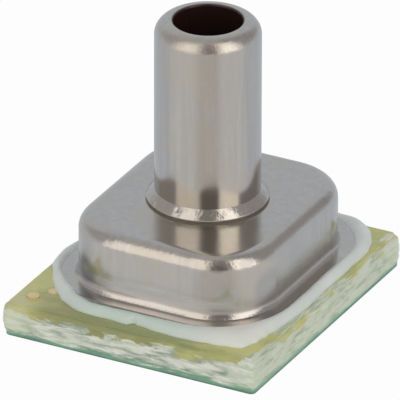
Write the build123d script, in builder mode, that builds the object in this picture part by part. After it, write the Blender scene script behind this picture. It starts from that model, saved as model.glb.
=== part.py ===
# Board-mount pressure sensor with a metal port tube.
# Millimetres, +Z up, origin at the middle of the board's underside.
# X runs across the narrow way of the board and Y along it.
import os
from build123d import *

# Board
board_width = 6.35
board_length = 7.25
laminate_thickness = 0.69
top_resist_thickness = 0.05
bottom_resist_thickness = 0.07
worn_corner_radius = 0.16
cut_corner_radius = 0.12
board_edge_round = 0.08
resist_set_back = 0.08
resist_pad_gap = 0.03
resist_window_gap = 0.10

# Copper
pad_length = 1.20
pad_width = 1.40
pad_side_gap = 0.075
pad_end_gap = 0.385
copper_thickness = 0.035
track_width = 0.15
via_radius = 0.09
via_land_radius = 0.14
via_sides = 12
via_set_in = 0.09
via_row_shifts = (-0.09, -0.55, -0.45)
mark_set_out = 0.19
mark_row_shift = -0.57
mark_height = 0.10
track_turn_gap = 0.10
bond_land_length = 0.40
bond_land_width = 0.30
bond_land_pitch = 0.50
bond_land_gap = 0.55

# Cap
cap_sheet = 0.14
cap_height = 1.64
cap_corner_radius = 1.46
cap_top_round = 0.36
cap_foot_round = 0.22
cap_foot_sink = 0.05
cap_mouth_round = 0.26
flange_width = 0.38
flange_corner_radius = 1.80
flange_side_margin = 0.37
flange_front_margin = 0.71
flange_back_margin = 0.15

# Port tube
port_bore_radius = 0.785
port_radius = 1.215
port_height = 4.445
port_lip_round = 0.06
port_top_flat = 0.01
port_shift_x = -0.06
port_shift_y = 0.065
collar_width = 0.19
collar_height = 0.24
collar_edge_height = 0.05
collar_undercut = 0.09
collar_crown_radius = 0.28
spigot_radius = 1.00
spigot_clearance = 0.01
rim_radius = 1.14
rim_height = 0.14

# Adhesive bead
bond_line = 0.02
bead_side_gap = 0.05
bead_front_gap = 0.31
bead_back_gap = 0.03
bead_corner_radius = 2.00
bead_full_corner_radius = 1.20
bead_edge_round = 0.12
bead_set_in = 0.10

# Sensing die on its glass
die_size = 1.65
die_thickness = 0.35
membrane_size = 0.62
membrane_thickness = 0.03
etch_angle = 54.74
glass_thickness = 0.35
die_attach_thickness = 0.04
attach_margin = 0.05

# Signal die
asic_width = 1.50
asic_length = 1.30
asic_thickness = 0.35
asic_attach_thickness = 0.03
asic_gap = 0.30

# Capacitor
capacitor_length = 1.00
capacitor_width = 0.50
capacitor_height = 0.50
capacitor_end_length = 0.24
capacitor_plating = 0.02
capacitor_gap = 0.35
capacitor_edge_round = 0.04

# Bond wires
wire_radius = 0.019
wire_sides = 8
ball_radius = 0.045
ball_sides = 12
ball_height = 0.03
wire_rise = 0.12
wire_shelf = 0.24
stitch_length = 0.07
stitch_width = 0.06
stitch_height = 0.02
die_wire_count = 4
die_wire_pitch = 0.30
die_pad_inset = 0.15
asic_pad_inset = 0.13
asic_pad_pitch = 0.40

# Heights
laminate_bottom = bottom_resist_thickness
laminate_top = laminate_bottom + laminate_thickness
board_top = laminate_top + top_resist_thickness
copper_top = laminate_top + copper_thickness
flange_bottom = board_top + bond_line
flange_top = flange_bottom + cap_sheet
cap_top = board_top + cap_height
cap_roof = cap_top - cap_sheet
port_top = cap_top + port_height
die_top = laminate_top + die_attach_thickness + glass_thickness + die_thickness
asic_top = laminate_top + asic_attach_thickness + asic_thickness

# Plan sizes and places
flange_span_x = board_width - 2 * flange_side_margin
flange_span_y = board_length - flange_front_margin - flange_back_margin
cap_width = flange_span_x - 2 * flange_width
cap_length = flange_span_y - 2 * flange_width
cap_inner_width = cap_width - 2 * cap_sheet
cap_inner_length = cap_length - 2 * cap_sheet
cap_inner_corner = cap_corner_radius - cap_sheet
cap_y = (flange_front_margin - flange_back_margin) / 2
port_x = port_shift_x
port_y = cap_y + port_shift_y
collar_radius = port_radius + collar_width
row_length = asic_length + asic_gap + die_size + capacitor_gap + capacitor_width
asic_y = cap_y - row_length / 2 + asic_length / 2
die_y = asic_y + asic_length / 2 + asic_gap + die_size / 2
capacitor_y = cap_y + row_length / 2 - capacitor_width / 2
pad_x = board_width / 2 - pad_side_gap - pad_length / 2
pad_pitch = board_length / 2 - pad_end_gap - pad_width / 2
via_x = pad_x - via_set_in
bond_land_x = asic_width / 2 + bond_land_gap + bond_land_length / 2
track_turn_x = bond_land_x + bond_land_length / 2 + track_turn_gap
bead_span_x = board_width - 2 * bead_side_gap
bead_span_y = board_length - bead_front_gap - bead_back_gap
bead_y = (bead_front_gap - bead_back_gap) / 2
rows = (-1, 0, 1)


def board_outline(inset=0.0):
    """Plan of the board: two opposite corners are worn rounder than the other two."""
    with BuildSketch() as outline:
        Rectangle(board_width, board_length)
        ends = outline.vertices().sort_by(Axis((0, 0, 0), (1, 1, 0)))
        fillet([ends[0], ends[-1]], worn_corner_radius)
        ends = outline.vertices().sort_by(Axis((0, 0, 0), (1, -1, 0)))
        fillet([ends[0], ends[-1]], cut_corner_radius)
        if inset:
            offset(amount=-inset)
    return outline.sketch


# Six copper contacts, each one plated piece: underside pad, via, track and bond land
def make_contact(side, row):
    """Copper of one contact, on the left or right side, in the front, middle or back row."""
    pad_place = (side * pad_x, row * pad_pitch)
    via_place = (side * via_x, row * pad_pitch + via_row_shifts[row + 1])
    bond_place = (side * bond_land_x, asic_y + row * bond_land_pitch)
    with BuildPart() as contact:
        with BuildSketch():
            with Locations(pad_place):
                Rectangle(pad_length, pad_width)
        extrude(amount=bottom_resist_thickness)
        with BuildSketch(Plane.XY.offset(laminate_bottom)):
            with Locations(via_place):
                RegularPolygon(via_radius, via_sides)
        extrude(amount=laminate_thickness)
        with BuildSketch(Plane.XY.offset(laminate_top)):
            with Locations(via_place):
                RegularPolygon(via_land_radius, via_sides)
        extrude(amount=top_resist_thickness)
        with BuildSketch(Plane.XY.offset(laminate_top)):
            with BuildLine():
                Polyline(via_place, (side * track_turn_x, bond_place[1]), bond_place)
            trace(line_width=track_width)
            with Locations(bond_place):
                Rectangle(bond_land_length, bond_land_width)
        extrude(amount=copper_thickness)
        if row == 1:
            # The back contacts feed the capacitor
            end_place = (side * (capacitor_length - capacitor_end_length) / 2, capacitor_y)
            with BuildSketch(Plane.XY.offset(laminate_top)):
                with BuildLine():
                    Line(via_place, end_place)
                trace(line_width=track_width)
                with Locations(end_place):
                    Rectangle(capacitor_end_length, capacitor_width)
            extrude(amount=copper_thickness)
        if row == -1 and side == -1:
            # A plated via that marks the first contact stands open beside the bead
            mark_place = (-pad_x - mark_set_out, row * pad_pitch + mark_row_shift)
            with BuildSketch(Plane.XY.offset(laminate_bottom)):
                with Locations(mark_place):
                    RegularPolygon(via_radius, via_sides)
            extrude(amount=laminate_thickness)
            with BuildSketch(Plane.XY.offset(laminate_top)):
                with Locations(mark_place):
                    RegularPolygon(via_land_radius, via_sides)
            extrude(amount=mark_height)
    return contact


contacts = [make_contact(side, row) for side in (-1, 1) for row in rows]

# Glass-fibre laminate with a hole for every plated via
with BuildPart() as laminate:
    with BuildSketch(Plane.XY.offset(laminate_bottom)):
        add(board_outline())
    extrude(amount=laminate_thickness)
    fillet(laminate.faces().sort_by(Axis.Z)[-1].edges(), board_edge_round)
    for contact in contacts:
        add(contact.part, mode=Mode.SUBTRACT)

# Resist film on top, open inside the cap and round the via lands
with BuildPart() as top_resist:
    with BuildSketch(Plane.XY.offset(laminate_top)):
        add(board_outline(resist_set_back))
        with Locations((0, cap_y)):
            RectangleRounded(
                cap_inner_width - 2 * resist_window_gap,
                cap_inner_length - 2 * resist_window_gap,
                cap_inner_corner - resist_window_gap,
                mode=Mode.SUBTRACT,
            )
    extrude(amount=top_resist_thickness)
    for contact in contacts:
        add(contact.part, mode=Mode.SUBTRACT)

# Resist film underneath, open round each pad
with BuildPart() as bottom_resist:
    with BuildSketch():
        add(board_outline())
        with GridLocations(2 * pad_x, pad_pitch, 2, len(rows)):
            Rectangle(
                pad_length + 2 * resist_pad_gap,
                pad_width + 2 * resist_pad_gap,
                mode=Mode.SUBTRACT,
            )
    extrude(amount=bottom_resist_thickness)

# Space inside the cap, with its upper edge rounded
with BuildPart() as cap_space:
    with BuildSketch(Plane.XY.offset(flange_bottom)):
        with Locations((0, cap_y)):
            RectangleRounded(cap_inner_width, cap_inner_length, cap_inner_corner)
    extrude(amount=cap_roof - flange_bottom)
    fillet(cap_space.edges().group_by(Axis.Z)[-1], cap_top_round - cap_sheet)

# Drawn sheet cap: rounded top, flared foot that meets the flange at a crease
with BuildPart() as cap:
    with BuildSketch(Plane.XY.offset(flange_bottom)) as flange_outline:
        with Locations((0, cap_y)):
            RectangleRounded(flange_span_x, flange_span_y, flange_corner_radius)
    extrude(amount=cap_sheet - cap_foot_sink)
    with BuildSketch(Plane.XY.offset(flange_top - cap_foot_sink)):
        with Locations((0, cap_y)):
            RectangleRounded(cap_width, cap_length, cap_corner_radius)
    extrude(amount=cap_top - flange_top + cap_foot_sink)
    fillet(cap.edges().group_by(Axis.Z)[-1], cap_top_round)
    flange_face = cap.faces().filter_by(Axis.Z).sort_by(Axis.Z)[1]
    fillet(flange_face.inner_wires()[0].edges(), cap_foot_round)
    extrude(flange_outline.sketch, amount=cap_sheet)
    add(cap_space.part, mode=Mode.SUBTRACT)
    flange_face = cap.faces().filter_by(Axis.Z).sort_by(Axis.Z)[0]
    fillet(flange_face.inner_wires()[0].edges(), cap_mouth_round)
    with BuildSketch(Plane.XY.offset(cap_roof)):
        with Locations((port_x, port_y)):
            Circle(spigot_radius + spigot_clearance)
    extrude(amount=cap_sheet, mode=Mode.SUBTRACT)

# Port tube: one turned piece, its spigot rolled over inside the cap
port_section = Plane(origin=(port_x, port_y, 0), x_dir=(1, 0, 0), z_dir=(0, -1, 0))
port_shoulder_round = port_radius - port_bore_radius - port_lip_round - port_top_flat
with BuildPart() as port_tube:
    with BuildSketch(port_section) as port_profile:
        with BuildLine():
            collar_start = (port_radius, cap_top + collar_height)
            collar_end = (collar_radius, cap_top + collar_edge_height)
            Polyline(
                collar_end,
                (collar_radius - collar_undercut, cap_top),
                (spigot_radius, cap_top),
                (spigot_radius, cap_roof),
                (rim_radius, cap_roof),
                (spigot_radius, cap_roof - rim_height),
                (port_bore_radius, cap_roof - rim_height),
                (port_bore_radius, port_top),
                (port_radius, port_top),
                collar_start,
            )
            RadiusArc(collar_start, collar_end, collar_crown_radius)
        make_face()
        top_corners = port_profile.vertices().group_by(Axis.Y)[-1]
        fillet(top_corners.sort_by(Axis.X)[0], port_lip_round)
        top_corners = port_profile.vertices().group_by(Axis.Y)[-1]
        fillet(top_corners.sort_by(Axis.X)[-1], port_shoulder_round)
    revolve(axis=Axis((port_x, port_y, 0), (0, 0, 1)))

# Adhesive: a thin line under the flange and a rounded bead round its edge
with BuildPart() as adhesive:
    with BuildSketch(Plane.XY.offset(board_top)) as bead_outline:
        with Locations((0, bead_y)):
            Rectangle(bead_span_x, bead_span_y)
        near_corner = bead_outline.vertices().sort_by(Axis((0, 0, 0), (1, -1, 0)))[-1]
        fillet(near_corner, bead_full_corner_radius)
        other_corners = bead_outline.vertices().sort_by(Axis((0, 0, 0), (1, -1, 0)))[:-2]
        fillet(other_corners, bead_corner_radius)
        with Locations((0, cap_y)):
            RectangleRounded(
                cap_inner_width + 2 * bead_set_in,
                cap_inner_length + 2 * bead_set_in,
                cap_inner_corner + bead_set_in,
                mode=Mode.SUBTRACT,
            )
    extrude(amount=flange_top - board_top)
    bead_face = adhesive.faces().sort_by(Axis.Z)[-1]
    fillet(bead_face.outer_wire().edges(), bead_edge_round)
    with BuildSketch(Plane.XY.offset(flange_bottom)):
        with Locations((0, cap_y)):
            RectangleRounded(flange_span_x, flange_span_y, flange_corner_radius)
    extrude(amount=flange_top - flange_bottom, mode=Mode.SUBTRACT)
    for contact in contacts:
        add(contact.part, mode=Mode.SUBTRACT)


def make_block(place, size, bottom, height):
    """Flat rectangular block: its place, width and length in plan, underside and height."""
    with BuildPart() as block:
        with BuildSketch(Plane.XY.offset(bottom)):
            with Locations(place):
                Rectangle(*size)
        extrude(amount=height)
    return block


# Sensing die: silicon etched from below to a thin membrane, closed by the glass
die_place = (0, die_y)
glass_bottom = laminate_top + die_attach_thickness
glass_top = glass_bottom + glass_thickness
die_attach_size = die_size + 2 * attach_margin
die_attach = make_block(
    die_place, (die_attach_size, die_attach_size), laminate_top, die_attach_thickness
)
die_glass = make_block(die_place, (die_size, die_size), glass_bottom, glass_thickness)
with BuildPart() as sensing_die:
    with BuildSketch(Plane.XY.offset(glass_top)):
        with Locations(die_place):
            Rectangle(die_size, die_size)
    extrude(amount=die_thickness)
    with BuildSketch(Plane.XY.offset(die_top - membrane_thickness)):
        with Locations(die_place):
            Rectangle(membrane_size, membrane_size)
    extrude(
        amount=-(die_thickness - membrane_thickness),
        taper=etch_angle - 90,
        mode=Mode.SUBTRACT,
    )

# Signal die on its own adhesive
asic_place = (0, asic_y)
asic_attach = make_block(
    asic_place,
    (asic_width + 2 * attach_margin, asic_length + 2 * attach_margin),
    laminate_top,
    asic_attach_thickness,
)
asic_die = make_block(
    asic_place,
    (asic_width, asic_length),
    laminate_top + asic_attach_thickness,
    asic_thickness,
)

# Ceramic capacitor with plated ends, standing on the back contacts
with BuildPart() as capacitor_body:
    with BuildSketch(Plane.XY.offset(copper_top + capacitor_plating)):
        with Locations((0, capacitor_y)):
            Rectangle(
                capacitor_length - 2 * capacitor_plating,
                capacitor_width - 2 * capacitor_plating,
            )
    extrude(amount=capacitor_height - 2 * capacitor_plating)


def make_capacitor_end(side):
    """Plated metal that wraps one end of the ceramic body."""
    end_x = side * (capacitor_length - capacitor_end_length) / 2
    with BuildPart() as end:
        with BuildSketch(Plane.XY.offset(copper_top)):
            with Locations((end_x, capacitor_y)):
                Rectangle(capacitor_end_length, capacitor_width)
        extrude(amount=capacitor_height)
        outer_edges = end.faces().sort_by(Axis.X)[0 if side < 0 else -1].edges()
        fillet(outer_edges, capacitor_edge_round)
        add(capacitor_body.part, mode=Mode.SUBTRACT)
    return end


capacitor_ends = [make_capacitor_end(side) for side in (-1, 1)]


def make_wire(start, end):
    """Bond wire from a ball on one surface to a flattened stitch on another."""
    start = Vector(*start)
    end = Vector(*end)
    heading = Vector(end.X - start.X, end.Y - start.Y, 0).normalized()
    foot = start + Vector(0, 0, ball_height)
    loop_top = foot + Vector(0, 0, wire_rise)
    tail = end + Vector(0, 0, wire_radius)
    with BuildPart() as wire:
        with BuildLine() as path:
            Polyline(
                foot,
                loop_top,
                loop_top + heading * wire_shelf,
                tail - heading * (stitch_length / 2),
                tail + heading * (stitch_length / 2),
            )
        with BuildSketch(Plane(origin=foot, x_dir=heading, z_dir=(0, 0, 1))):
            RegularPolygon(wire_radius, wire_sides)
        sweep(path=path.line, transition=Transition.RIGHT)
        with BuildSketch(Plane(origin=start, x_dir=heading, z_dir=(0, 0, 1))):
            RegularPolygon(ball_radius, ball_sides)
        extrude(amount=ball_height)
        with BuildSketch(Plane(origin=end, x_dir=heading, z_dir=(0, 0, 1))):
            Rectangle(stitch_length, stitch_width)
        extrude(amount=stitch_height)
    return wire


# Wires from the sensing die to the signal die, and from there to the contacts
die_wires = []
for index in range(die_wire_count):
    wire_x = (index - (die_wire_count - 1) / 2) * die_wire_pitch
    die_pad = (wire_x, die_y - die_size / 2 + die_pad_inset, die_top)
    asic_pad = (wire_x, asic_y + asic_length / 2 - asic_pad_inset, asic_top)
    die_wires.append(make_wire(die_pad, asic_pad))

contact_wires = []
for side in (-1, 1):
    for row in rows:
        asic_pad_x = side * (asic_width / 2 - asic_pad_inset)
        asic_pad = (asic_pad_x, asic_y + row * asic_pad_pitch, asic_top)
        bond_land = (side * bond_land_x, asic_y + row * bond_land_pitch, copper_top)
        contact_wires.append(make_wire(asic_pad, bond_land))

pieces = {
    "board_laminate": laminate,
    "top_resist": top_resist,
    "bottom_resist": bottom_resist,
    "cap": cap,
    "port_tube": port_tube,
    "adhesive_bead": adhesive,
    "die_attach": die_attach,
    "die_glass": die_glass,
    "sensing_die": sensing_die,
    "signal_die_attach": asic_attach,
    "signal_die": asic_die,
    "capacitor_body": capacitor_body,
}
repeats = {
    "contact": contacts,
    "capacitor_end": capacitor_ends,
    "die_wire": die_wires,
    "contact_wire": contact_wires,
}
for name, copies in repeats.items():
    for number, copy in enumerate(copies, start=1):
        pieces[f"{name}_{number}"] = copy

os.makedirs("parts", exist_ok=True)
for name, piece in pieces.items():
    piece.part.label = name
    export_step(piece.part, f"parts/{name}.step")
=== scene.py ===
# Studio picture of a board-mount pressure sensor with a metal port tube.
# Metres, +Z up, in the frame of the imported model; the shaders work in millimetres.
import math
import bmesh
import bpy
from mathutils import Matrix, Vector, noise


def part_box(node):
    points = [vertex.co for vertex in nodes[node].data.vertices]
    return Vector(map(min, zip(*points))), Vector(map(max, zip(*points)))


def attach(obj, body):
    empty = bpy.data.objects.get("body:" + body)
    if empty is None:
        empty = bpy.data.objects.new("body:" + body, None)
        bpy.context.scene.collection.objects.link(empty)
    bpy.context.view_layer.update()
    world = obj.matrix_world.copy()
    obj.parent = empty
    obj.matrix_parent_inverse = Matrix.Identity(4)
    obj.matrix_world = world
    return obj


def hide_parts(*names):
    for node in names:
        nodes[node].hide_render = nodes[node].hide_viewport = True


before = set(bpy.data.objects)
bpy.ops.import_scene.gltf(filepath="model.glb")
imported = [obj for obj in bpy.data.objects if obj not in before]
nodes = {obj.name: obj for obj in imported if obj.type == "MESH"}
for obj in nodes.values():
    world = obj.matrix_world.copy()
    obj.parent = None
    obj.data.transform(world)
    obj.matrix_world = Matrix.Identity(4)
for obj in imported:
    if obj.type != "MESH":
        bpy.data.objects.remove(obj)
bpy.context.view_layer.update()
scene = bpy.context.scene
mm = 0.001
board_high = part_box("board_laminate")[1]
board_half_x = board_high.x / mm
board_half_y = board_high.y / mm
board_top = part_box("top_resist")[1].z / mm

# Camera: where it stands and how far it sees
camera_azimuth = math.radians(27.609)
camera_elevation = math.radians(27.03)
camera_roll = math.radians(0.113)
camera_distance = 272.6 * mm
camera_shift_right = -0.062 * mm
camera_shift_up = 2.234 * mm
camera_lens = 1080.0

# Adhesive bead: what it goes round, and how it stands
bead_stations = 720
bead_profile_steps = 18
flange_corner = 1.80
bond_inset = 0.42
bead_crest = 0.045
bead_bare_drop = 0.9
bead_round_power = 2.6
bead_foot_power = 0.55
bead_crest_power = 0.9
# how far slow wavers move its reach, lap and crest, and how far fine ripples do
bead_reach_waver = 0.02
bead_lap_waver = 0.015
bead_crest_waver = 0.015
bead_ripple = 0.008

# Port tube: its turned profile as packed, and how fine it is drawn
tube_bore = 0.785
tube_outside = 1.215
tube_lip_round = 0.06
tube_top_flat = 0.01
collar_outside = 1.405
collar_height = 0.262
collar_foot = 0.056
collar_undercut = 0.05
spigot_outside = 1.00
spigot_rim = 1.14
rim_height = 0.14
sheet_thickness = 0.14
tube_stations = 360
lip_steps = 18
collar_steps = 12
tube_sharp_angle = math.radians(28)
collar_foot_round = 0.012
collar_swell = 0.003
collar_step = 0.03
collar_held_low = 0.12
# parts of the collar's relief that go outwards and upwards from its slope
collar_relief_out = 0.75
collar_relief_up = 0.66
# dents in the collar: angle round the tube, height above the cap, depth, reach
collar_dents = (
    (-126.0, 0.07, 0.035, 0.05),
    (-115.5, 0.05, 0.030, 0.04),
    (-95.0, 0.19, 0.015, 0.04),
)

# Broken edge of the laminate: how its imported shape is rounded, and how fine the new wall is
board_corners = (0.12, 0.16, 0.12, 0.16)
worn_edge = 0.08
edge_stations = 1100
edge_rows = 26
edge_swell = 0.018
edge_strand = 0.022
edge_flake = 0.018
# shares of the wall's height over which the relief fades out, at its foot and at its top
edge_fades = (0.12, 0.10)
# corners worn smooth: side in x, side in y, how far the corner bulges halfway up
worn_corners = ((-1, -1, 0.085), (1, 1, 0.045))
worn_corner_reach = 0.45


class Tree:
    """Short way to add shader nodes and link them."""

    def __init__(self, tree):
        self.tree = tree
        tree.nodes.clear()

    def add(self, kind, inputs=None, **settings):
        """A node of that kind, whose inputs are sockets to link or plain values."""
        made = self.tree.nodes.new("ShaderNode" + kind)
        for name, value in settings.items():
            setattr(made, name, value)
        for name, value in (inputs or {}).items():
            if isinstance(value, bpy.types.NodeSocket):
                self.tree.links.new(value, made.inputs[name])
            else:
                made.inputs[name].default_value = value
        return made

    def math(self, operation, *values):
        """Result of one piece of arithmetic."""
        inputs = dict(enumerate(values))
        return self.add("Math", inputs, operation=operation).outputs[0]

    def ramp(self, value, start, end, low=0.0, high=1.0):
        """Smooth step from low to high as value goes from start to end."""
        inputs = {
            "Value": value,
            "From Min": start,
            "From Max": end,
            "To Min": low,
            "To Max": high,
        }
        made = self.add("MapRange", inputs, interpolation_type="SMOOTHSTEP")
        return made.outputs["Result"]

    def mix(self, factor, first, second):
        """Colour that goes from first to second."""
        made = self.add("Mix", data_type="RGBA")
        for number, value in zip((0, 6, 7), (factor, first, second)):
            if isinstance(value, bpy.types.NodeSocket):
                self.tree.links.new(value, made.inputs[number])
            elif number:
                made.inputs[number].default_value = (*value, 1.0)
            else:
                made.inputs[number].default_value = value
        return made.outputs[2]

    def place(self):
        """Position on the object, in millimetres."""
        position = self.add("TexCoord").outputs["Object"]
        scaled = self.add("VectorMath", {0: position, "Scale": 1 / mm}, operation="SCALE")
        return scaled.outputs[0]

    def stretch(self, vector, along):
        """Position multiplied along each axis."""
        return self.add("VectorMath", {0: vector, 1: along}, operation="MULTIPLY").outputs[0]

    def split(self, vector):
        """The three values of a position or direction, by axis."""
        return self.add("SeparateXYZ", {0: vector}).outputs

    def along(self, vector, direction):
        """How far a vector goes in that direction."""
        inputs = {0: vector, 1: direction}
        return self.add("VectorMath", inputs, operation="DOT_PRODUCT").outputs["Value"]

    def distance(self, vector, middle):
        """Distance from that place."""
        inputs = {0: vector, 1: middle}
        return self.add("VectorMath", inputs, operation="DISTANCE").outputs["Value"]

    def spot(self, vector, middle, far, near, most=1.0):
        """Share that rises from nothing at far from that place to its most at near."""
        return self.ramp(self.distance(vector, middle), far, near, 0.0, most)

    def noise(self, vector, scale, detail=3.0, roughness=0.5, distortion=0.0):
        """Smooth random value from 0 to 1; scale is in features per millimetre."""
        inputs = {
            "Vector": vector,
            "Scale": scale,
            "Detail": detail,
            "Roughness": roughness,
            "Distortion": distortion,
        }
        return self.add("TexNoise", inputs).outputs["Fac"]

    def bump(self, height, strength, depth, under=None):
        """Normal of a surface with that relief, depth in millimetres."""
        inputs = {"Height": height, "Strength": strength, "Distance": depth * mm}
        if under:
            inputs["Normal"] = under
        return self.add("Bump", inputs).outputs[0]

    def surface(self, **inputs):
        """Principled surface as the material's output."""
        made = self.add("BsdfPrincipled", {k.replace("_", " "): v for k, v in inputs.items()})
        self.add("OutputMaterial", {"Surface": made.outputs[0]})


def new_material(name):
    """Empty node material and its tree."""
    material = bpy.data.materials.new(name)
    material.use_nodes = True
    return material, Tree(material.node_tree)


def dress(name, material):
    """Gives a CAD node its material."""
    data = nodes[name].data
    data.materials.clear()
    data.materials.append(material)


# Camera
back = Vector((
    math.sin(camera_azimuth) * math.cos(camera_elevation),
    -math.cos(camera_azimuth) * math.cos(camera_elevation),
    math.sin(camera_elevation),
))
level_right = Vector((math.cos(camera_azimuth), math.sin(camera_azimuth), 0.0))
level_back = Vector((math.sin(camera_azimuth), -math.cos(camera_azimuth), 0.0))
level_up = back.cross(level_right)
right = math.cos(camera_roll) * level_right + math.sin(camera_roll) * level_up
up = back.cross(right)
camera_data = bpy.data.cameras.new("camera")
camera_data.lens = camera_lens
camera_data.clip_start = 1 * mm
camera_data.clip_end = 10.0
camera = bpy.data.objects.new("camera", camera_data)
axes = Matrix((right, up, back)).transposed().to_4x4()
camera_place = camera_distance * back + camera_shift_right * right + camera_shift_up * up
camera.matrix_world = Matrix.Translation(camera_place) @ axes
scene.collection.objects.link(camera)
scene.camera = camera
scene.view_settings.view_transform = "Standard"

# Studio round the object: azimuth is counted from the camera, positive to its right
studio_wall = (0.555, 0.590, 0.640)
studio_top = (0.500, 0.490, 0.485)
floor_front = (0.610, 0.600, 0.575)
floor_flank = (0.745, 0.765, 0.785)
floor_back = (0.585, 0.640, 0.730)
floor_shade = (0.20, 0.20, 0.20)
# elevations and azimuths, in radians, over which one of these passes into the next
ceiling_elevations = (0.7, 1.2)
horizon_elevations = (0.0, -0.06)
flank_azimuths = (0.25, 0.60)
back_azimuths = (1.15, 1.75)
# colour of each patch of the studio, its azimuths and elevations, softness of its edges
studio_patches = (
    ((0.36, 0.35, 0.36), (72, 140), (8, 85), 10),
    ((0.44, 0.42, 0.42), (-130, -74), (14, 60), 6),
    ((1.22, 1.15, 1.07), (-71, -19), (-8, 66), 4),
    ((1.62, 1.55, 1.46), (26, 70), (-8, 66), 4),
    ((0.24, 0.21, 0.20), (-15, 23), (-30, 76), 4),
    ((0.26, 0.24, 0.23), (-23, 30), (40, 76), 4),
)
world = bpy.data.worlds.new("studio")
scene.world = world
world.use_nodes = True
tree = Tree(world.node_tree)
direction = tree.add("TexCoord").outputs["Generated"]
aside = tree.along(direction, level_right)
ahead = tree.along(direction, level_back)
azimuth = tree.math("ARCTAN2", aside, ahead)
elevation = tree.math("ARCSINE", tree.split(direction)["Z"])
light = tree.mix(tree.ramp(elevation, *ceiling_elevations), studio_wall, studio_top)
for colour, (left, right_end), (low, high), soft in studio_patches:
    soft = math.radians(soft)
    edges = (
        tree.ramp(azimuth, math.radians(left) - soft, math.radians(left) + soft),
        tree.ramp(azimuth, math.radians(right_end) + soft, math.radians(right_end) - soft),
        tree.ramp(elevation, math.radians(low) - soft, math.radians(low) + soft),
        tree.ramp(elevation, math.radians(high) + soft, math.radians(high) - soft),
    )
    share = edges[0]
    for edge in edges[1:]:
        share = tree.math("MULTIPLY", share, edge)
    light = tree.mix(share, light, colour)
light = tree.mix(tree.ramp(elevation, *horizon_elevations), light, floor_flank)
seen = tree.add("LightPath").outputs["Is Camera Ray"]
light = tree.mix(seen, light, (1.0, 1.0, 1.0))
shine = tree.add("Background", {"Color": light, "Strength": 1.0})
tree.add("OutputWorld", {"Surface": shine.outputs[0]})

# Pale floor that stays white to the eye and pale to the metal, and keeps the shadow
floor_half = 0.35
floor_white_share = 0.96
floor_shine_share = 0.75
floor_gap = 0.008 * mm
shade_middle = -3.9 * level_right - 0.2 * level_back
shade_reach = (1.25, 1.95)
floor_mesh = bpy.data.meshes.new("floor")
floor_signs = ((-1, -1), (1, -1), (1, 1), (-1, 1))
floor_corners = [(x * floor_half, y * floor_half, -floor_gap) for x, y in floor_signs]
floor_mesh.from_pydata(floor_corners, [], [(0, 1, 2, 3)])
floor = bpy.data.objects.new("floor", floor_mesh)
scene.collection.objects.link(floor)
floor_material, tree = new_material("pale_floor")
path = tree.add("LightPath")
eye_share = tree.math("MULTIPLY", path.outputs["Is Camera Ray"], floor_white_share)
glossy = path.outputs["Is Glossy Ray"]
shine_share = tree.math("MAXIMUM", glossy, path.outputs["Is Transmission Ray"])
shine_share = tree.math("MULTIPLY", shine_share, floor_shine_share)
white_share = tree.math("ADD", eye_share, shine_share)
place = tree.place()
aside = tree.along(place, level_right)
ahead = tree.along(place, level_back)
azimuth = tree.math("ABSOLUTE", tree.math("ARCTAN2", aside, ahead))
shine_colour = tree.mix(tree.ramp(azimuth, *flank_azimuths), floor_front, floor_flank)
shine_colour = tree.mix(tree.ramp(azimuth, *back_azimuths), shine_colour, floor_back)
# the object's own shade on the floor, on its far left, where the metal sees it
off_shade = tree.distance(place, shade_middle)
shine_colour = tree.mix(tree.ramp(off_shade, *shade_reach), floor_shade, shine_colour)
white_colour = tree.mix(path.outputs["Is Camera Ray"], shine_colour, (1.0, 1.0, 1.0))
grain = tree.noise(place, 0.4)
paper_colour = tree.mix(grain, (0.90, 0.90, 0.895), (0.94, 0.94, 0.935))
paper = tree.add("BsdfDiffuse", {"Color": paper_colour})
white = tree.add("Emission", {"Color": white_colour, "Strength": 1.0})
floor_shader = tree.add("MixShader", {0: white_share, 1: paper.outputs[0], 2: white.outputs[0]})
# from underneath the floor is clear, and so it is across the hair's breadth under the board
touching = tree.math("LESS_THAN", path.outputs["Ray Length"], 3 * floor_gap)
backfacing = tree.add("NewGeometry").outputs["Backfacing"]
under = tree.math("MAXIMUM", backfacing, touching)
clear = tree.add("BsdfTransparent")
floor_shader = tree.add("MixShader", {0: under, 1: floor_shader.outputs[0], 2: clear.outputs[0]})
tree.add("OutputMaterial", {"Surface": floor_shader.outputs[0]})
floor_mesh.materials.append(floor_material)


# how much warmer the metal's clouds are
warm_tone = (0.97, 0.94, 0.88)
# middle of the cove at the cap's foot, top of the tube's dull foot, rounded edge of the bore
cove_rise = 0.995
tube_foot_rise = (2.53, 2.50)
bore_edge = (0.80, 0.845)


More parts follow.
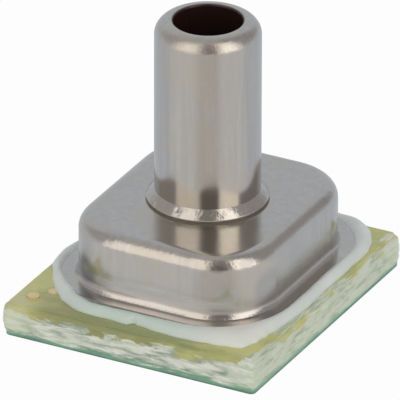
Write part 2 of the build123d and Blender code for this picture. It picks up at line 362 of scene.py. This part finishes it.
def metal(name, tint, shade, streak_height, dullness, polish, painted_light=(), bore=None):
    """Satin sheet or turned metal: faint upright streaks, and a rougher skin on its rounds.

    Polish is the height where its lower dullness ends, the height where its upper dullness
    starts, and the lower dullness. Bore is an axis and the painted shade of the hole round it.
    """
    material, tree = new_material(name)
    place = tree.place()
    streaks = tree.noise(tree.stretch(place, (6.0, 6.0, streak_height)), 1.0, 5.0, 0.6)
    clouds = tree.noise(place, 0.8, 3.0, 0.6)
    skin = tree.noise(place, 22.0 if bore else 13.0, 3.0, 0.6)
    grain = tree.noise(tree.stretch(place, (9.0, 9.0, 4.0)), 1.0, 3.0, 0.7)
    rise = tree.split(place)["Z"]
    # the rounds face neither sideways nor straight up
    facing = tree.split(tree.add("TexCoord").outputs["Normal"])["Z"]
    rounds = tree.math("MULTIPLY", tree.ramp(facing, 0.03, 0.3), tree.ramp(facing, 0.99, 0.85))
    base = tree.mix(tree.ramp(streaks, 0.30, 0.70), shade, tint)
    base = tree.mix(tree.ramp(grain, 0.35, 0.65, 0.0, 0.5), base, shade)
    warm = tuple(c * f for c, f in zip(tint, warm_tone))
    base = tree.mix(tree.ramp(clouds, 0.45, 0.68, 0.0, 0.8), base, warm)
    # painted shade, highlights and reflections, each colour faded in over a soft spot
    for middle, reach, painted_colour in painted_light:
        away = tree.add("VectorMath", {0: place, 1: middle}, operation="SUBTRACT").outputs[0]
        away = tree.stretch(away, tuple(1 / r for r in reach))
        away = tree.add("VectorMath", {0: away}, operation="LENGTH").outputs["Value"]
        base = tree.mix(tree.ramp(away, 1.0, 0.45), base, painted_colour)
    metal_share = 1.0
    # inside the bore the colour is painted shade, near black and not metal
    if bore:
        axis, colour = bore
        from_axis = tree.distance(tree.stretch(place, (1, 1, 0)), axis)
        metal_share = tree.ramp(from_axis, *bore_edge)
        base = tree.mix(metal_share, colour, base)
    # its dullness changes up the wall, with the clouds, and at its foot
    dull = tree.ramp(rise, polish[0], polish[1], polish[2], dullness)
    dull = tree.math("ADD", dull, tree.ramp(clouds, 0.2, 0.8, -0.03, 0.03))
    if bore:
        dull = tree.math("ADD", dull, tree.ramp(rise, *tube_foot_rise, 0.0, 0.4))
    else:
        off_cove = tree.math("ABSOLUTE", tree.math("SUBTRACT", rise, cove_rise))
        dull = tree.math("ADD", dull, tree.ramp(off_cove, 0.10, 0.03, 0.0, -0.18))
    grit = tree.ramp(rounds, 0.0, 1.0, 0.08, 0.52)
    if bore:
        grit = tree.math("MULTIPLY", grit, tree.ramp(rise, 2.9, 6.0, 0.6, 1.15))
    relief = tree.bump(skin, grit, 0.011)
    relief = tree.bump(streaks, 0.10, 0.005, relief)
    tree.surface(Base_Color=base, Metallic=metal_share, Roughness=dull, Normal=relief)
    return material


# painted shade, highlights and reflections on the cap: middle and reach in millimetres, colour
cap_painted_light = (
    ((-1.42, -2.46, 1.50), (0.34, 0.30, 0.30), (0.66, 0.64, 0.72)),
    ((-1.78, -2.30, 1.36), (0.50, 0.45, 0.44), (0.37, 0.36, 0.38)),
    ((1.80, -2.27, 1.52), (0.36, 0.36, 0.24), (0.61, 0.61, 0.66)),
    ((1.60, -2.40, 1.24), (0.60, 0.45, 0.22), (0.72, 0.70, 0.68)),
    ((0.10, -2.55, 1.27), (2.10, 0.30, 0.26), (0.77, 0.73, 0.74)),
    ((0.10, -2.70, 1.01), (2.30, 0.24, 0.09), (0.62, 0.595, 0.565)),
    ((-0.95, -2.56, 1.085), (0.90, 0.30, 0.06), (0.49, 0.465, 0.42)),
    ((2.12, -1.93, 2.28), (0.24, 0.26, 0.14), (0.49, 0.47, 0.44)),
    ((1.62, -2.37, 2.20), (0.28, 0.18, 0.12), (0.46, 0.44, 0.415)),
    ((2.33, -1.35, 1.55), (0.32, 0.60, 0.55), (0.48, 0.465, 0.455)),
)
cap_metal = metal("cap_metal", (0.622, 0.594, 0.555), (0.560, 0.535, 0.500), streak_height=0.6,
                  dullness=0.18, polish=(1.15, 1.60, 0.34), painted_light=cap_painted_light)
tube_low, tube_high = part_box("port_tube")
tube_x = (tube_low.x + tube_high.x) / 2 / mm
tube_y = (tube_low.y + tube_high.y) / 2 / mm
# the dark colour given with the bore's axis is painted shade inside the hole
tube_metal = metal("tube_metal", (0.624, 0.594, 0.550), (0.556, 0.529, 0.490), streak_height=0.30,
                   dullness=0.24, polish=(3.0, 3.9, 0.15),
                   bore=((tube_x, tube_y, 0.0), (0.027, 0.012, 0.011)))


def edge_field(tree, place):
    """Place on the board whose third value counts inwards from its edge, over and down it."""
    apart = tree.split(place)
    inward_x = tree.math("SUBTRACT", board_half_x, tree.math("ABSOLUTE", apart["X"]))
    inward_y = tree.math("SUBTRACT", board_half_y, tree.math("ABSOLUTE", apart["Y"]))
    below = tree.math("SUBTRACT", board_top, apart["Z"])
    wrapped = tree.math("SUBTRACT", tree.math("MINIMUM", inward_x, inward_y), below)
    right_side = tree.ramp(tree.math("SUBTRACT", inward_x, inward_y), 0.10, -0.10)
    right_side = tree.math("MULTIPLY", right_side, tree.ramp(apart["X"], -0.5, 0.5))
    field = tree.add("CombineXYZ", {"X": apart["X"], "Y": apart["Y"], "Z": wrapped}).outputs[0]
    return field, wrapped, right_side, apart


def bare_share(tree, field, wrapped, right_side):
    """Share of bare fibre: below a torn line, and in long patches along the right side."""
    waves = tree.noise(field, 1.3, 2.0)
    tears = tree.noise(tree.stretch(field, (2.4, 2.4, 7.0)), 1.0, 3.0, 0.58, 0.4)
    near_corner = tree.ramp(tree.split(field)["X"], 0.8, 3.0, 0.0, 0.12)
    limit = tree.math("ADD", near_corner, tree.ramp(waves, 0.3, 0.7, -0.31, -0.16))
    limit = tree.math("ADD", limit, tree.ramp(tears, 0.3, 0.7, -0.10, 0.10))
    corner = tree.spot(field, (3.2, -3.5, 0.0), 0.52, 0.22, 0.42)
    limit = tree.math("ADD", limit, corner)
    torn = tree.ramp(tree.math("SUBTRACT", limit, wrapped), -0.065, 0.045)
    patches = tree.noise(tree.stretch(field, (1.0, 1.0, 4.4)), 1.0, 3.0, 0.55, 0.4)
    lean = tree.math("ADD", tree.math("MULTIPLY", wrapped, -0.42), corner)
    flaked = tree.ramp(tree.math("ADD", patches, lean), 0.42, 0.54)
    return tree.mix(right_side, torn, flaked)


def fibre_colour(tree, field, right_side, apart):
    """Strands, patches and colour of broken glass fibres, white over grey-green resin."""
    strands = tree.noise(tree.stretch(field, (1.4, 1.4, 9.0)), 1.0, 5.0, 0.60, 0.6)
    patches = tree.noise(tree.stretch(field, (0.9, 0.9, 3.6)), 1.0, 3.0, 0.6, 0.3)
    deep = tree.mix(right_side, (0.33, 0.43, 0.36), (0.46, 0.54, 0.40))
    resin = tree.mix(tree.ramp(patches, 0.44, 0.60), (0.70, 0.80, 0.66), deep)
    pale = tree.mix(right_side, (0.93, 0.98, 0.90), (0.79, 0.85, 0.71))
    rough = tree.mix(tree.ramp(strands, 0.40, 0.64), resin, pale)
    # towards the front left corner the break is smooth
    calm = tree.ramp(apart["X"], -3.0, -1.9, 0.80, 0.0)
    base = tree.mix(calm, rough, (0.80, 0.87, 0.69))
    # and the far right corner is pale
    far_corner = tree.spot(field, (3.1, 3.5, -0.1), 1.1, 0.3, 0.65)
    return strands, patches, tree.mix(far_corner, base, (0.84, 0.88, 0.74))


def resist_colour(tree, field, wrapped, right_side, apart):
    """Olive resist film: duller on the left, yellower on the right, greener at the front edge."""
    clouds = tree.noise(tree.stretch(field, (0.9, 1.3, 0.9)), 1.0, 4.0, 0.6)
    tone = tree.ramp(apart["X"], -3.1, -1.9, 0.65, 0.10)
    tone = tree.math("ADD", tone, tree.ramp(apart["X"], 0.4, 2.4, 0.0, 0.60))
    tone = tree.math("ADD", tone, tree.ramp(clouds, 0.25, 0.75, -0.25, 0.45))
    olive = tree.mix(tree.ramp(tone, 0.0, 1.0), (0.37, 0.375, 0.155), (0.685, 0.705, 0.295))
    murk = tree.spot(field, (-0.9, -3.3, 0.2), 1.5, 0.5, 0.35)
    olive = tree.mix(murk, olive, (0.37, 0.385, 0.18))
    corner = tree.spot(field, (-3.0, -3.4, 0.1), 0.75, 0.25, 0.6)
    olive = tree.mix(corner, olive, (0.70, 0.71, 0.43))
    band = tree.ramp(tree.math("ABSOLUTE", tree.math("ADD", wrapped, -0.06)), 0.30, 0.08)
    band = tree.math("MULTIPLY", band, tree.ramp(apart["X"], 2.6, 1.2))
    band = tree.math("MULTIPLY", band, tree.ramp(apart["X"], -2.7, -1.5))
    streaks = tree.noise(tree.stretch(field, (0.9, 0.9, 5.0)), 1.0, 3.0, 0.6)
    band = tree.math("MULTIPLY", band, tree.ramp(streaks, 0.34, 0.56))
    band = tree.math("MULTIPLY", band, tree.math("SUBTRACT", 1.0, right_side))
    return tree.mix(band, olive, (0.33, 0.385, 0.18))


def laminate_material():
    """Sawn glass-fibre laminate: broken fibres, olive above and teal underneath."""
    material, tree = new_material("laminate")
    place = tree.place()
    field, wrapped, right_side, apart = edge_field(tree, place)
    strands, patches, fibres = fibre_colour(tree, field, right_side, apart)
    olive = resist_colour(tree, field, wrapped, right_side, apart)
    base = tree.mix(bare_share(tree, field, wrapped, right_side), olive, fibres)
    lift = tree.math("MULTIPLY", tree.math("SUBTRACT", patches, 0.48), 0.4)
    lift = tree.math("ADD", lift, tree.ramp(strands, 0.65, 0.35, -0.06, 0.06))
    lift = tree.math("MULTIPLY", lift, tree.ramp(right_side, 0.0, 1.0, 1.0, 0.35))
    rise = tree.math("SUBTRACT", apart["Z"], lift)
    teal = tree.mix(tree.ramp(apart["X"], 0.5, 3.0), (0.22, 0.42, 0.31), (0.24, 0.53, 0.33))
    base = tree.mix(tree.ramp(rise, 0.20, 0.05, 0.0, 0.90), base, teal)
    relief = tree.bump(strands, 0.7, 0.03)
    tree.surface(Base_Color=base, Roughness=0.42, Normal=relief)
    return material


def top_resist_material():
    """Olive resist film, torn back to bare fibres along the board's edge."""
    material, tree = new_material("top_resist")
    place = tree.place()
    field, wrapped, right_side, apart = edge_field(tree, place)
    fibres = fibre_colour(tree, field, right_side, apart)[2]
    olive = resist_colour(tree, field, wrapped, right_side, apart)
    base = tree.mix(bare_share(tree, field, wrapped, right_side), olive, fibres)
    relief = tree.bump(tree.noise(place, 5.0), 0.3, 0.01)
    tree.surface(Base_Color=base, Roughness=0.32, Normal=relief)
    return material


def bottom_resist_material():
    """Green resist film underneath, darker along its lowest edge."""
    material, tree = new_material("bottom_resist")
    place = tree.place()
    clouds = tree.noise(tree.stretch(place, (1.2, 1.2, 6.0)), 1.0, 4.0, 0.6)
    base = tree.mix(tree.ramp(clouds, 0.35, 0.65), (0.16, 0.36, 0.27), (0.27, 0.58, 0.40))
    lowest = tree.ramp(tree.split(place)["Z"], 0.045, 0.015, 0.0, 0.75)
    base = tree.mix(lowest, base, (0.09, 0.17, 0.14))
    relief = tree.bump(tree.noise(place, 5.0), 0.3, 0.01)
    tree.surface(Base_Color=base, Roughness=0.35, Normal=relief)
    return material


def adhesive_material():
    """White silicone with a bluish tone and a soft shine."""
    material, tree = new_material("adhesive")
    place = tree.place()
    clouds = tree.noise(place, 0.9, 4.0, 0.6)
    base = tree.mix(tree.ramp(clouds, 0.3, 0.7), (0.75, 0.82, 0.80), (0.84, 0.90, 0.88))
    # thin and greenish along the front, thick and creamy at the front right corner
    base = tree.mix(tree.spot(place, (-0.2, -3.0, 0.9), 2.2, 0.9, 0.8), base, (0.64, 0.79, 0.72))
    base = tree.mix(tree.spot(place, (2.35, -2.75, 0.9), 1.1, 0.3, 0.7), base, (0.91, 0.94, 0.88))
    relief = tree.bump(tree.noise(place, 3.0), 0.4, 0.02)
    tree.surface(Base_Color=base, Roughness=0.40, Normal=relief)
    return material


def plain_material(name, first, second, scale, roughness, metallic=0.0):
    """Two close tones in fine grains, for the small inner pieces."""
    material, tree = new_material(name)
    place = tree.place()
    grain = tree.noise(place, scale, 4.0, 0.6)
    base = tree.mix(tree.ramp(grain, 0.3, 0.7), first, second)
    dull = tree.ramp(grain, 0.2, 0.8, roughness * 0.8, roughness * 1.2)
    relief = tree.bump(grain, 0.3, 0.004)
    tree.surface(Base_Color=base, Metallic=metallic, Roughness=dull, Normal=relief)
    return material


adhesive = adhesive_material()
plating = plain_material("contact_plating", (0.93, 0.72, 0.38), (0.96, 0.80, 0.44), 8.0, 0.42, 0.7)
silicon = plain_material("silicon", (0.05, 0.05, 0.06), (0.09, 0.09, 0.11), 6.0, 0.22)
die_attach = plain_material("die_attach", (0.55, 0.55, 0.52), (0.66, 0.66, 0.63), 6.0, 0.6)
ceramic = plain_material("capacitor_ceramic", (0.30, 0.19, 0.11), (0.38, 0.25, 0.15), 12.0, 0.5)
tin = plain_material("capacitor_plating", (0.52, 0.52, 0.50), (0.62, 0.62, 0.60), 12.0, 0.35, 1.0)
gold = plain_material("bond_wire", (0.80, 0.52, 0.20), (0.88, 0.60, 0.26), 20.0, 0.25, 1.0)

dress("cap", cap_metal)
dress("port_tube", tube_metal)
laminate = laminate_material()
dress("board_laminate", laminate)
dress("top_resist", top_resist_material())
dress("bottom_resist", bottom_resist_material())
dress("adhesive_bead", adhesive)
dress("die_attach", die_attach)
dress("die_glass", plain_material("die_glass", (0.60, 0.66, 0.64), (0.68, 0.73, 0.71), 3.0, 0.1))
dress("sensing_die", silicon)
dress("signal_die_attach", die_attach)
dress("signal_die", silicon)
dress("capacitor_body", ceramic)
for name in nodes:
    if name.startswith("contact_wire") or name.startswith("die_wire"):
        dress(name, gold)
    elif name.startswith("contact_"):
        dress(name, plating)
    elif name.startswith("capacitor_end"):
        dress(name, tin)

# Adhesive bead: how far it reaches beyond the flange, going round from the middle of the
# front towards +X; the first value of each pair is the share of the way round
bead_reach = (
    (0.003, 0.33), (0.026, 0.41), (0.056, 0.44), (0.077, 0.50), (0.090, 0.60), (0.106, 0.76),
    (0.118, 0.62), (0.129, 0.47), (0.141, 0.33), (0.157, 0.23), (0.172, 0.19), (0.204, 0.22),
    (0.260, 0.19), (0.294, 0.21), (0.314, 0.19), (0.333, 0.23), (0.351, 0.33), (0.368, 0.40),
    (0.388, 0.48), (0.405, 0.48), (0.425, 0.29), (0.440, 0.14), (0.460, 0.11), (0.540, 0.11),
    (0.563, 0.14), (0.580, 0.22), (0.600, 0.32), (0.640, 0.32), (0.700, 0.26), (0.775, 0.22),
    (0.805, 0.34), (0.830, 0.29), (0.851, 0.20), (0.875, 0.20), (0.894, 0.24), (0.909, 0.33),
    (0.939, 0.39), (0.963, 0.37), (0.990, 0.41), (0.997, 0.29),
)
# how far it laps over the flange there; below zero it stops short and leaves the edge bare
bead_lap = (
    (0.000, -0.05), (0.040, -0.02), (0.069, 0.00), (0.096, 0.01), (0.137, 0.06), (0.210, 0.04),
    (0.307, 0.06), (0.357, 0.00), (0.404, -0.05), (0.450, 0.00), (0.550, 0.02), (0.700, 0.03),
    (0.800, 0.00), (0.852, 0.00), (0.874, 0.07), (0.897, 0.07), (0.919, -0.02), (0.939, -0.07),
    (0.956, -0.07), (0.986, -0.05),
)


def rounded_outline(half_x, half_y, corners, centre_y, count):
    """Points of a rounded rectangle with outward normals, evenly spaced from mid-front to +X."""
    near_right, far_right, far_left, near_left = corners
    # length, start point, heading and radius of each straight and each corner in turn
    runs = (
        (half_x - near_right, (0, -half_y), 0, 0),
        (near_right * math.pi / 2, (half_x - near_right, near_right - half_y), -90, near_right),
        (2 * half_y - near_right - far_right, (half_x, near_right - half_y), 90, 0),
        (far_right * math.pi / 2, (half_x - far_right, half_y - far_right), 0, far_right),
        (2 * half_x - far_right - far_left, (half_x - far_right, half_y), 180, 0),
        (far_left * math.pi / 2, (far_left - half_x, half_y - far_left), 90, far_left),
        (2 * half_y - far_left - near_left, (-half_x, half_y - far_left), 270, 0),
        (near_left * math.pi / 2, (near_left - half_x, near_left - half_y), 180, near_left),
        (half_x - near_left, (near_left - half_x, -half_y), 0, 0),
    )
    total = sum(run[0] for run in runs)
    points = []
    for index in range(count):
        left = total * index / count
        for length, (x, y), heading, radius in runs:
            if left < length:
                break
            left -= length
        if radius:
            angle = math.radians(heading) + left / radius
            normal = Vector((math.cos(angle), math.sin(angle)))
            point = Vector((x, y)) + radius * normal
        else:
            angle = math.radians(heading)
            along = Vector((math.cos(angle), math.sin(angle)))
            normal = Vector((along.y, -along.x))
            point = Vector((x, y)) + left * along
        points.append((point + Vector((0, centre_y)), normal))
    return points


def eased(share):
    """Share that starts and ends gently."""
    return share * share * (3 - 2 * share)


def smooth_value(pairs, share):
    """Value at that share of a closed loop, smoothly between the pairs."""
    for index, (start, value) in enumerate(pairs):
        end, next_value = pairs[(index + 1) % len(pairs)]
        if index == len(pairs) - 1:
            end += 1.0
        if start <= share < end:
            return value + (next_value - value) * eased((share - start) / (end - start))
    return pairs[0][1]


def swept_mesh(name, vertices, around):
    """Smooth closed mesh: equal sections, each joined to the next and the last to the first."""
    stations = len(vertices) // around
    faces = []
    for station in range(stations):
        first = station * around
        second = (station + 1) % stations * around
        for step in range(around):
            after = (step + 1) % around
            faces.append((first + step, second + step, second + after, first + after))
    mesh = bpy.data.meshes.new(name)
    mesh.from_pydata(vertices, [], faces)
    mesh.update()
    for polygon in mesh.polygons:
        polygon.use_smooth = True
    return mesh


def add_piece(mesh, material):
    """New object of that mesh and material, with the mesh's name."""
    mesh.materials.append(material)
    piece = bpy.data.objects.new(mesh.name, mesh)
    scene.collection.objects.link(piece)
    return piece


def adhesive_bead():
    """Irregular bead that runs round the flange and laps its edge."""
    low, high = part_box("cap")
    half_x = (high.x - low.x) / 2 / mm
    half_y = (high.y - low.y) / 2 / mm
    centre_y = (high.y + low.y) / 2 / mm
    flange_bottom = low.z / mm
    flange_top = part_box("adhesive_bead")[1].z / mm
    vertices = []
    outline = rounded_outline(half_x, half_y, (flange_corner,) * 4, centre_y, bead_stations)
    for index, (point, normal) in enumerate(outline):
        share = index / bead_stations
        waver = noise.noise(Vector((point.x * 1.7, point.y * 1.7, 3.0)))
        ripple = noise.noise(Vector((point.x * 5.0, point.y * 5.0, 8.0)))
        reach = smooth_value(bead_reach, share) + bead_reach_waver * waver + bead_ripple * ripple
        lap = smooth_value(bead_lap, share) + bead_lap_waver * waver + bead_ripple * ripple
        crest = bead_crest + bead_crest_waver * waver
        start = -max(lap, 0.0)
        drop = max(-lap, 0.0) * bead_bare_drop
        # distance out from the flange's edge and height of each point: first under the flange
        section = [
            (-bond_inset, board_top),
            (-bond_inset, flange_bottom),
            (0.0, flange_bottom),
            (0.0, flange_top - drop),
        ]
        for step in range(bead_profile_steps + 1):
            share_out = (1 - math.cos(math.pi * step / bead_profile_steps)) / 2
            out = start + share_out * (reach - start)
            fall = (1 - share_out ** bead_round_power) ** bead_foot_power
            rise = crest * math.sin(math.pi * share_out ** bead_crest_power)
            dip = drop * (1 - share_out) ** 2
            section.append((out, board_top + (flange_top - board_top) * fall + rise - dip))
        for out, z in section:
            place = point + normal * out
            vertices.append((place.x * mm, place.y * mm, z * mm))
    return add_piece(swept_mesh("adhesive_bead_round", vertices, len(section)), adhesive)


def edge_relief(point, height):
    """How far the broken edge stands out there, in millimetres."""
    x, y = point
    swell = noise.noise(Vector((x * 0.9, y * 0.9, height * 2.5)))
    strands = noise.noise(Vector((x * 2.2 + 7.0, y * 2.2, height * 11.0)))
    flakes = noise.noise(Vector((x * 3.4, y * 3.4 + 5.0, height * 17.0)))
    flakes = min(max((flakes - 0.05) / 0.12, 0.0), 1.0)
    # the front left and far right corners are worn smooth and bulge halfway up
    bulge = 0.0
    rough = 1.0
    for side_x, side_y, size in worn_corners:
        away = math.hypot(x - side_x * board_half_x, y - side_y * board_half_y)
        belly = math.sin(math.pi * height / board_top)
        bulge += size * belly * max(0.0, 1.0 - away / worn_corner_reach)
        rough = min(rough, 0.3 + away)
    relief = edge_swell * swell + edge_strand * strands + edge_flake * flakes
    return rough * relief + bulge


def broken_edge():
    """The laminate with its sides broken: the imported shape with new, ragged side walls."""
    source = nodes["board_laminate"]
    low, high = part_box("board_laminate")
    low_z, high_z = low.z / mm, high.z / mm
    wall = bmesh.new()
    wall.from_mesh(source.data)
    wall.transform(source.matrix_world)
    sides = []
    for face in wall.faces:
        middle = face.calc_center_median() / mm
        inward = min(board_half_x - abs(middle.x), board_half_y - abs(middle.y))
        if inward < worn_edge and abs(face.normal.z) < 0.999:
            sides.append(face)
    bmesh.ops.delete(wall, geom=sides, context="FACES")
    for face in wall.faces:
        face.smooth = False
    outline = rounded_outline(board_half_x, board_half_y, board_corners, 0.0, edge_stations)
    rows = []
    for step in range(edge_rows + 1):
        share = step / edge_rows
        height = low_z + (high_z - low_z) * share
        lean = max(0.0, height - (high_z - worn_edge)) / worn_edge
        inset = worn_edge * (1 - math.sqrt(max(0.0, 1 - lean * lean)))
        fade = eased(min(1.0, share / edge_fades[0], (1 - share) / edge_fades[1]))
        row = []
        for point, normal in outline:
            out = edge_relief(point, height) * fade - inset
            place = point + normal * out
            row.append(wall.verts.new((place.x * mm, place.y * mm, height * mm)))
        rows.append(row)
    for lower, upper in zip(rows, rows[1:]):
        for index in range(edge_stations):
            after = (index + 1) % edge_stations
            face = wall.faces.new((lower[index], lower[after], upper[after], upper[index]))
            face.smooth = True
    mesh = bpy.data.meshes.new("laminate_broken_edge")
    wall.to_mesh(mesh)
    wall.free()
    return add_piece(mesh, laminate)


def collar_relief(angle, rise):
    """How far the collar's uneven skin stands out there, in millimetres."""
    x, y = math.cos(angle), math.sin(angle)
    relief = 0.012 * noise.noise(Vector((3.0 * x, 3.0 * y, 2.0)))
    relief += 0.004 * noise.noise(Vector((11.0 * x, 11.0 * y, 9.0 * rise)))
    relief += 0.002 * noise.noise(Vector((30.0 * x, 30.0 * y, 24.0 * rise)))
    for dent_angle, dent_rise, depth, reach in collar_dents:
        turn = math.remainder(angle - math.radians(dent_angle), 2 * math.pi) * collar_outside
        relief -= depth * math.exp(-(turn ** 2 + (rise - dent_rise) ** 2) / reach ** 2)
    return relief


def turned_tube():
    """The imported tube's profile, turned finely, with a sloped collar in uneven metal."""
    base_z, top_z = tube_low.z / mm, tube_high.z / mm
    cap_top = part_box("cap")[1].z / mm
    shoulder = tube_outside - tube_bore - tube_lip_round - tube_top_flat
    # radius, height and share of the collar's relief at each ring, from the cap up and round
    rings = [
        (spigot_outside, cap_top, 0.0),
        (collar_outside - collar_undercut, cap_top, 0.0),
        (collar_outside - collar_foot_round, cap_top + collar_foot - collar_foot_round, 0.5),
    ]
    for step in range(collar_steps + 1):
        share = step / collar_steps
        radius = collar_outside + (tube_outside - collar_outside) * share
        rise = collar_foot + (collar_height - collar_foot) * share
        # the relief is full on the lower slope and ends where the collar meets the tube
        held = math.sin(math.pi * (collar_held_low + (1 - collar_held_low) * share))
        swell = collar_swell * held
        rings.append((radius + swell, cap_top + rise + swell, held))
    rings.append((tube_outside, cap_top + collar_height + collar_step, 0.0))
    for step in range(lip_steps + 1):
        turn = math.pi / 2 * step / lip_steps
        rings.append((tube_outside - shoulder * (1 - math.cos(turn)),
                      top_z - shoulder * (1 - math.sin(turn)), 0.0))
    for step in range(lip_steps // 2 + 1):
        turn = math.pi / 2 * step / (lip_steps // 2)
        rings.append((tube_bore + tube_lip_round * (1 - math.sin(turn)),
                      top_z - tube_lip_round * (1 - math.cos(turn)), 0.0))
    rings += [
        (tube_bore, base_z, 0.0),
        (spigot_outside, base_z, 0.0),
        (spigot_rim, base_z + rim_height, 0.0),
        (spigot_outside, cap_top - sheet_thickness, 0.0),
    ]
    vertices = []
    for station in range(tube_stations):
        angle = 2 * math.pi * station / tube_stations
        for radius, height, share in rings:
            relief = share * collar_relief(angle, height - cap_top) if share else 0.0
            out = radius + collar_relief_out * relief
            vertices.append(((tube_x + out * math.cos(angle)) * mm,
                             (tube_y + out * math.sin(angle)) * mm,
                             (height + collar_relief_up * relief) * mm))
    mesh = swept_mesh("port_tube_turned", vertices, len(rings))
    mesh.set_sharp_from_angle(angle=tube_sharp_angle)
    return add_piece(mesh, tube_metal)


tube = turned_tube()
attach(tube, "root")
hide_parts("port_tube")

bead = adhesive_bead()
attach(bead, "root")
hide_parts("adhesive_bead")

laminate_piece = broken_edge()
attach(laminate_piece, "root")
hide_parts("board_laminate")
